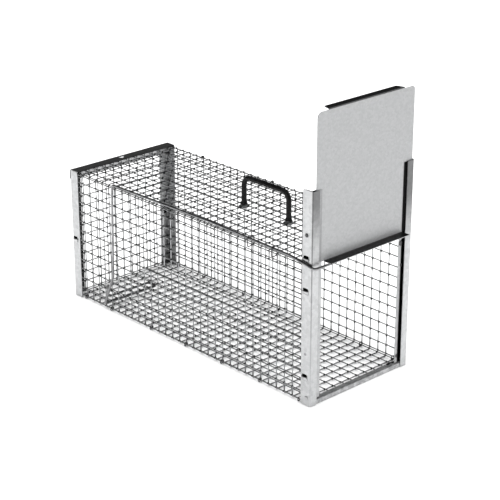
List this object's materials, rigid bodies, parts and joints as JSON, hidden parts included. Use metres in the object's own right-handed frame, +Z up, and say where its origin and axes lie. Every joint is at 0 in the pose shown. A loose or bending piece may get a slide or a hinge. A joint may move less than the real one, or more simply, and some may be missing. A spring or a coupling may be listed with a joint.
{
  "type": "live catch cage",
  "caption": "Long wire mesh cage with folded steel corner posts, a raised drop door held by a trigger rod, and a carrying handle.",
  "frame": {"origin": "centre of the whole object's footprint, on the floor", "axes": "+Y along the cage from the drop door at -Y to the closed end, +X to the right seen from the door, +Z up"},
  "size_m": [0.2437, 0.6494, 0.5015],
  "materials": {
    "mesh_wire": "galvanised welded wire",
    "sheet_steel": "galvanised folded sheet",
    "door_sheet": "dull mottled galvanised sheet",
    "rod_steel": "zinc plated wire",
    "small_hardware": "zinc plated",
    "handle_black": "glossy black"
  },
  "bodies": {
    "cage": {"floor_mesh": "mesh_wire", "top_mesh": "mesh_wire", "left_side_mesh": "mesh_wire", "right_side_mesh": "mesh_wire", "back_mesh": "mesh_wire", "front_left_post": "sheet_steel", "front_right_post": "sheet_steel", "back_left_post": "sheet_steel", "back_right_post": "sheet_steel", "left_door_guide": "sheet_steel", "right_door_guide": "sheet_steel", "front_sill": "sheet_steel", "back_top_bar": "sheet_steel", "left_bottom_ring_1": "small_hardware", "left_bottom_ring_2": "small_hardware", "left_bottom_ring_3": "small_hardware", "left_bottom_ring_4": "small_hardware", "left_bottom_ring_5": "small_hardware", "left_bottom_ring_6": "small_hardware", "left_bottom_ring_7": "small_hardware", "right_bottom_ring_1": "small_hardware", "right_bottom_ring_2": "small_hardware", "right_bottom_ring_3": "small_hardware", "right_bottom_ring_4": "small_hardware", "right_bottom_ring_5": "small_hardware", "right_bottom_ring_6": "small_hardware", "right_bottom_ring_7": "small_hardware", "right_top_ring_1": "small_hardware", "right_top_ring_2": "small_hardware", "right_top_ring_3": "small_hardware", "rod_clip_1": "small_hardware", "rod_clip_2": "small_hardware", "top_bar_rivet_left": "small_hardware", "guide_rivet_left": "small_hardware", "foot_rivet_left": "small_hardware", "top_bar_rivet_right": "small_hardware", "guide_rivet_right": "small_hardware", "foot_rivet_right": "small_hardware", "handle_washer_front": "small_hardware", "handle_washer_back": "small_hardware", "handle_backing_front": "small_hardware", "handle_backing_back": "small_hardware", "handle_nut_front": "small_hardware", "handle_nut_back": "small_hardware", "handle_bar": "handle_black", "handle_foot_front": "handle_black", "handle_foot_back": "handle_black"},
    "door": {"door_panel": "door_sheet"},
    "trigger": {"trigger_rod": "rod_steel"}
  },
  "joints": [
    {"name": "door_drop", "type": "slide", "parent": "cage", "child": "door", "axis": [0, 0, 1], "range_m": [-0.2405, 0]},
    {"name": "trigger_slide", "type": "slide", "parent": "cage", "child": "trigger", "axis": [0, -1, 0], "range_m": [0, 0.01]}
  ]
}
